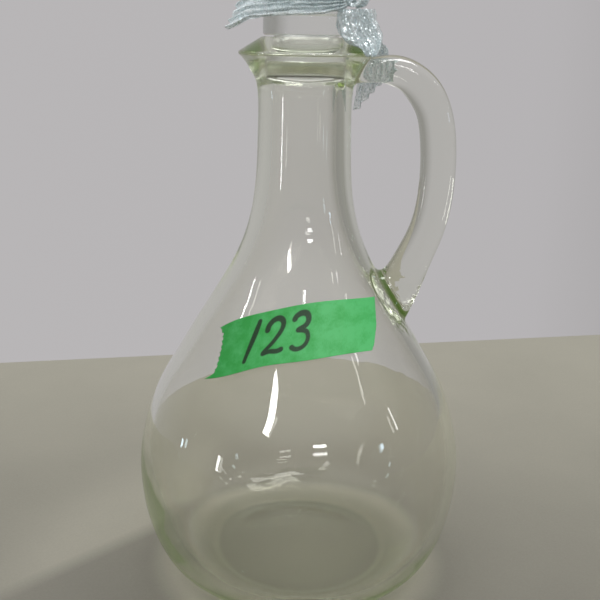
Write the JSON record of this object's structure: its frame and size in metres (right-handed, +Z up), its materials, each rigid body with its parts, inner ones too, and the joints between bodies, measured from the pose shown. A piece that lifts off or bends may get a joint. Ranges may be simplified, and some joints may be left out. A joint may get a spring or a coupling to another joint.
{
  "type": "glass oil bottle",
  "caption": "Clear pear-shaped glass oil bottle with a flared collar, applied strap handle and lift-out glass stopper, a tape label on the shoulder and a ribbon tied round the stopper.",
  "frame": {"origin": "centre of the foot on the surface that the bottle stands on", "axes": "+Z up along the bottle's axis; +X towards the handle; the tape label faces -Y"},
  "size_m": [0.1552, 0.1552, 0.303],
  "materials": {
    "clear_glass": "clear blown glass, faint green tint, smooth and glossy",
    "handle_glass": "clear drawn glass, faint green tint, smooth and glossy",
    "stopper_glass": "clear moulded glass, glossy, with a ground plug",
    "green_tape": "creped paper tape, matte to satin",
    "blue_ribbon": "open glitter mesh, pale blue, sparkling"
  },
  "bodies": {
    "bottle": {"bottle_body": "clear_glass", "handle": "handle_glass", "lot_label": "green_tape"},
    "ribbon_tie": {"ribbon_band": "blue_ribbon", "ribbon_knot": "blue_ribbon", "ribbon_loop_left": "blue_ribbon", "ribbon_loop_right": "blue_ribbon", "ribbon_tail_right": "blue_ribbon", "ribbon_tail_left": "blue_ribbon"},
    "stopper": {"stopper": "stopper_glass"}
  },
  "joints": [
    {"name": "stopper_lift", "type": "slide", "parent": "bottle", "child": "ribbon_tie", "axis": [0, 0, 1], "range_m": [0, 0.1]},
    {"name": "stopper_turn", "type": "hinge", "parent": "ribbon_tie", "child": "stopper", "pos_m": [0, 0, 0.27], "axis": [0, 0, 1], "continuous": true}
  ]
}
